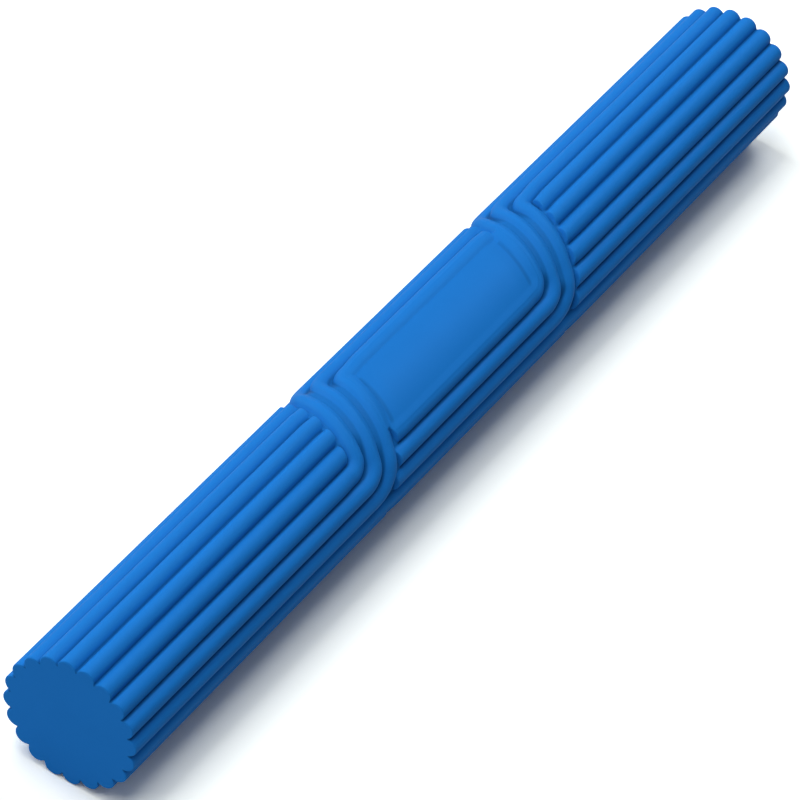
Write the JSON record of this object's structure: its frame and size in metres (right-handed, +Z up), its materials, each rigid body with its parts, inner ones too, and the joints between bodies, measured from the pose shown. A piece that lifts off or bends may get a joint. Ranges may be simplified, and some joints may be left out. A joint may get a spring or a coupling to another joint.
{
  "type": "flexible resistance bar",
  "caption": "Straight ribbed rubber bar with a smooth panel on two sides between slanting rib bands, which bends into a U and twists by hand.",
  "frame": {"origin": "middle of the bar, on its long axis", "axes": "+X along the bar from the near end to the far end, +Z up with the bar lying on two ribs, and the upper panel leaning 9 degrees from +Z towards -Y"},
  "size_m": [0.305, 0.0352, 0.0352],
  "materials": {
    "blue_rubber": "satin moulded rubber"
  },
  "bodies": {
    "panel_section_3": {"panel_section_3": "blue_rubber", "far_flex_web_1": "blue_rubber", "near_flex_web_1": "blue_rubber"},
    "panel_section_4": {"panel_section_4": "blue_rubber"},
    "panel_section_5": {"panel_section_5": "blue_rubber", "far_flex_web_2": "blue_rubber"},
    "far_band_1": {"far_band_1": "blue_rubber"},
    "far_band_2": {"far_band_2": "blue_rubber", "far_flex_web_3": "blue_rubber"},
    "far_band_3": {"far_band_3": "blue_rubber"},
    "far_grip_1": {"far_grip_1": "blue_rubber", "far_flex_web_4": "blue_rubber"},
    "far_grip_2": {"far_grip_2": "blue_rubber"},
    "far_grip_3": {"far_grip_3": "blue_rubber", "far_flex_web_5": "blue_rubber"},
    "far_grip_4": {"far_grip_4": "blue_rubber"},
    "far_grip_5": {"far_grip_5": "blue_rubber", "far_flex_web_6": "blue_rubber"},
    "far_grip_6": {"far_grip_6": "blue_rubber"},
    "far_grip_7": {"far_grip_7": "blue_rubber", "far_flex_web_7": "blue_rubber"},
    "far_grip_8": {"far_grip_8": "blue_rubber"},
    "far_grip_9": {"far_grip_9": "blue_rubber"},
    "panel_section_2": {"panel_section_2": "blue_rubber"},
    "panel_section_1": {"panel_section_1": "blue_rubber", "near_flex_web_2": "blue_rubber"},
    "near_band_3": {"near_band_3": "blue_rubber"},
    "near_band_2": {"near_band_2": "blue_rubber", "near_flex_web_3": "blue_rubber"},
    "near_band_1": {"near_band_1": "blue_rubber"},
    "near_grip_9": {"near_grip_9": "blue_rubber", "near_flex_web_4": "blue_rubber"},
    "near_grip_8": {"near_grip_8": "blue_rubber"},
    "near_grip_7": {"near_grip_7": "blue_rubber", "near_flex_web_5": "blue_rubber"},
    "near_grip_6": {"near_grip_6": "blue_rubber"},
    "near_grip_5": {"near_grip_5": "blue_rubber", "near_flex_web_6": "blue_rubber"},
    "near_grip_4": {"near_grip_4": "blue_rubber"},
    "near_grip_3": {"near_grip_3": "blue_rubber", "near_flex_web_7": "blue_rubber"},
    "near_grip_2": {"near_grip_2": "blue_rubber"},
    "near_grip_1": {"near_grip_1": "blue_rubber"}
  },
  "joints": [
    {"name": "far_bend_1", "type": "hinge", "parent": "panel_section_3", "child": "panel_section_4", "pos_m": [0.00526, 0, 0], "axis": [0, -1, 0], "range_deg": [-12.8, 12.8], "stiffness_Nm_per_rad": 16.5, "deforming": ["far_flex_web_1"]},
    {"name": "far_twist_1", "type": "hinge", "parent": "panel_section_4", "child": "panel_section_5", "pos_m": [0.01578, 0, 0], "axis": [1, 0, 0], "range_deg": [-8.6, 8.6], "stiffness_Nm_per_rad": 11},
    {"name": "far_bend_2", "type": "hinge", "parent": "panel_section_5", "child": "far_band_1", "pos_m": [0.02629, 0, 0], "axis": [0, -1, 0], "range_deg": [-12.8, 12.8], "stiffness_Nm_per_rad": 16.5, "deforming": ["far_flex_web_2"]},
    {"name": "far_twist_2", "type": "hinge", "parent": "far_band_1", "child": "far_band_2", "pos_m": [0.03681, 0, 0], "axis": [1, 0, 0], "range_deg": [-8.6, 8.6], "stiffness_Nm_per_rad": 11},
    {"name": "far_bend_3", "type": "hinge", "parent": "far_band_2", "child": "far_band_3", "pos_m": [0.04733, 0, 0], "axis": [0, -1, 0], "range_deg": [-12.8, 12.8], "stiffness_Nm_per_rad": 16.5, "deforming": ["far_flex_web_3"]},
    {"name": "far_twist_3", "type": "hinge", "parent": "far_band_3", "child": "far_grip_1", "pos_m": [0.05784, 0, 0], "axis": [1, 0, 0], "range_deg": [-8.6, 8.6], "stiffness_Nm_per_rad": 11},
    {"name": "far_bend_4", "type": "hinge", "parent": "far_grip_1", "child": "far_grip_2", "pos_m": [0.06836, 0, 0], "axis": [0, -1, 0], "range_deg": [-12.8, 12.8], "stiffness_Nm_per_rad": 16.5, "deforming": ["far_flex_web_4"]},
    {"name": "far_twist_4", "type": "hinge", "parent": "far_grip_2", "child": "far_grip_3", "pos_m": [0.07888, 0, 0], "axis": [1, 0, 0], "range_deg": [-8.6, 8.6], "stiffness_Nm_per_rad": 11},
    {"name": "far_bend_5", "type": "hinge", "parent": "far_grip_3", "child": "far_grip_4", "pos_m": [0.0894, 0, 0], "axis": [0, -1, 0], "range_deg": [-12.8, 12.8], "stiffness_Nm_per_rad": 16.5, "deforming": ["far_flex_web_5"]},
    {"name": "far_twist_5", "type": "hinge", "parent": "far_grip_4", "child": "far_grip_5", "pos_m": [0.09991, 0, 0], "axis": [1, 0, 0], "range_deg": [-8.6, 8.6], "stiffness_Nm_per_rad": 11},
    {"name": "far_bend_6", "type": "hinge", "parent": "far_grip_5", "child": "far_grip_6", "pos_m": [0.11043, 0, 0], "axis": [0, -1, 0], "range_deg": [-12.8, 12.8], "stiffness_Nm_per_rad": 16.5, "deforming": ["far_flex_web_6"]},
    {"name": "far_twist_6", "type": "hinge", "parent": "far_grip_6", "child": "far_grip_7", "pos_m": [0.12095, 0, 0], "axis": [1, 0, 0], "range_deg": [-8.6, 8.6], "stiffness_Nm_per_rad": 11},
    {"name": "far_bend_7", "type": "hinge", "parent": "far_grip_7", "child": "far_grip_8", "pos_m": [0.13147, 0, 0], "axis": [0, -1, 0], "range_deg": [-12.8, 12.8], "stiffness_Nm_per_rad": 16.5, "deforming": ["far_flex_web_7"]},
    {"name": "far_twist_7", "type": "hinge", "parent": "far_grip_8", "child": "far_grip_9", "pos_m": [0.14198, 0, 0], "axis": [1, 0, 0], "range_deg": [-8.6, 8.6], "stiffness_Nm_per_rad": 11},
    {"name": "near_bend_1", "type": "hinge", "parent": "panel_section_3", "child": "panel_section_2", "pos_m": [-0.00526, 0, 0], "axis": [0, -1, 0], "range_deg": [-12.8, 12.8], "stiffness_Nm_per_rad": 16.5, "deforming": ["near_flex_web_1"]},
    {"name": "near_twist_1", "type": "hinge", "parent": "panel_section_2", "child": "panel_section_1", "pos_m": [-0.01578, 0, 0], "axis": [1, 0, 0], "range_deg": [-8.6, 8.6], "stiffness_Nm_per_rad": 11},
    {"name": "near_bend_2", "type": "hinge", "parent": "panel_section_1", "child": "near_band_3", "pos_m": [-0.02629, 0, 0], "axis": [0, -1, 0], "range_deg": [-12.8, 12.8], "stiffness_Nm_per_rad": 16.5, "deforming": ["near_flex_web_2"]},
    {"name": "near_twist_2", "type": "hinge", "parent": "near_band_3", "child": "near_band_2", "pos_m": [-0.03681, 0, 0], "axis": [1, 0, 0], "range_deg": [-8.6, 8.6], "stiffness_Nm_per_rad": 11},
    {"name": "near_bend_3", "type": "hinge", "parent": "near_band_2", "child": "near_band_1", "pos_m": [-0.04733, 0, 0], "axis": [0, -1, 0], "range_deg": [-12.8, 12.8], "stiffness_Nm_per_rad": 16.5, "deforming": ["near_flex_web_3"]},
    {"name": "near_twist_3", "type": "hinge", "parent": "near_band_1", "child": "near_grip_9", "pos_m": [-0.05784, 0, 0], "axis": [1, 0, 0], "range_deg": [-8.6, 8.6], "stiffness_Nm_per_rad": 11},
    {"name": "near_bend_4", "type": "hinge", "parent": "near_grip_9", "child": "near_grip_8", "pos_m": [-0.06836, 0, 0], "axis": [0, -1, 0], "range_deg": [-12.8, 12.8], "stiffness_Nm_per_rad": 16.5, "deforming": ["near_flex_web_4"]},
    {"name": "near_twist_4", "type": "hinge", "parent": "near_grip_8", "child": "near_grip_7", "pos_m": [-0.07888, 0, 0], "axis": [1, 0, 0], "range_deg": [-8.6, 8.6], "stiffness_Nm_per_rad": 11},
    {"name": "near_bend_5", "type": "hinge", "parent": "near_grip_7", "child": "near_grip_6", "pos_m": [-0.0894, 0, 0], "axis": [0, -1, 0], "range_deg": [-12.8, 12.8], "stiffness_Nm_per_rad": 16.5, "deforming": ["near_flex_web_5"]},
    {"name": "near_twist_5", "type": "hinge", "parent": "near_grip_6", "child": "near_grip_5", "pos_m": [-0.09991, 0, 0], "axis": [1, 0, 0], "range_deg": [-8.6, 8.6], "stiffness_Nm_per_rad": 11},
    {"name": "near_bend_6", "type": "hinge", "parent": "near_grip_5", "child": "near_grip_4", "pos_m": [-0.11043, 0, 0], "axis": [0, -1, 0], "range_deg": [-12.8, 12.8], "stiffness_Nm_per_rad": 16.5, "deforming": ["near_flex_web_6"]},
    {"name": "near_twist_6", "type": "hinge", "parent": "near_grip_4", "child": "near_grip_3", "pos_m": [-0.12095, 0, 0], "axis": [1, 0, 0], "range_deg": [-8.6, 8.6], "stiffness_Nm_per_rad": 11},
    {"name": "near_bend_7", "type": "hinge", "parent": "near_grip_3", "child": "near_grip_2", "pos_m": [-0.13147, 0, 0], "axis": [0, -1, 0], "range_deg": [-12.8, 12.8], "stiffness_Nm_per_rad": 16.5, "deforming": ["near_flex_web_7"]},
    {"name": "near_twist_7", "type": "hinge", "parent": "near_grip_2", "child": "near_grip_1", "pos_m": [-0.14198, 0, 0], "axis": [1, 0, 0], "range_deg": [-8.6, 8.6], "stiffness_Nm_per_rad": 11}
  ],
  "couplings": [
    {"joint": "far_bend_2", "follows": "far_bend_1", "ratio": 1},
    {"joint": "far_twist_2", "follows": "far_twist_1", "ratio": 1},
    {"joint": "far_bend_3", "follows": "far_bend_1", "ratio": 1},
    {"joint": "far_twist_3", "follows": "far_twist_1", "ratio": 1},
    {"joint": "far_bend_4", "follows": "far_bend_1", "ratio": 1},
    {"joint": "far_twist_4", "follows": "far_twist_1", "ratio": 1},
    {"joint": "far_bend_5", "follows": "far_bend_1", "ratio": 1},
    {"joint": "far_twist_5", "follows": "far_twist_1", "ratio": 1},
    {"joint": "far_bend_6", "follows": "far_bend_1", "ratio": 1},
    {"joint": "far_twist_6", "follows": "far_twist_1", "ratio": 1},
    {"joint": "far_bend_7", "follows": "far_bend_1", "ratio": 1},
    {"joint": "far_twist_7", "follows": "far_twist_1", "ratio": 1},
    {"joint": "near_bend_1", "follows": "far_bend_1", "ratio": -1},
    {"joint": "near_twist_1", "follows": "far_twist_1", "ratio": -1},
    {"joint": "near_bend_2", "follows": "far_bend_1", "ratio": -1},
    {"joint": "near_twist_2", "follows": "far_twist_1", "ratio": -1},
    {"joint": "near_bend_3", "follows": "far_bend_1", "ratio": -1},
    {"joint": "near_twist_3", "follows": "far_twist_1", "ratio": -1},
    {"joint": "near_bend_4", "follows": "far_bend_1", "ratio": -1},
    {"joint": "near_twist_4", "follows": "far_twist_1", "ratio": -1},
    {"joint": "near_bend_5", "follows": "far_bend_1", "ratio": -1},
    {"joint": "near_twist_5", "follows": "far_twist_1", "ratio": -1},
    {"joint": "near_bend_6", "follows": "far_bend_1", "ratio": -1},
    {"joint": "near_twist_6", "follows": "far_twist_1", "ratio": -1},
    {"joint": "near_bend_7", "follows": "far_bend_1", "ratio": -1},
    {"joint": "near_twist_7", "follows": "far_twist_1", "ratio": -1}
  ]
}
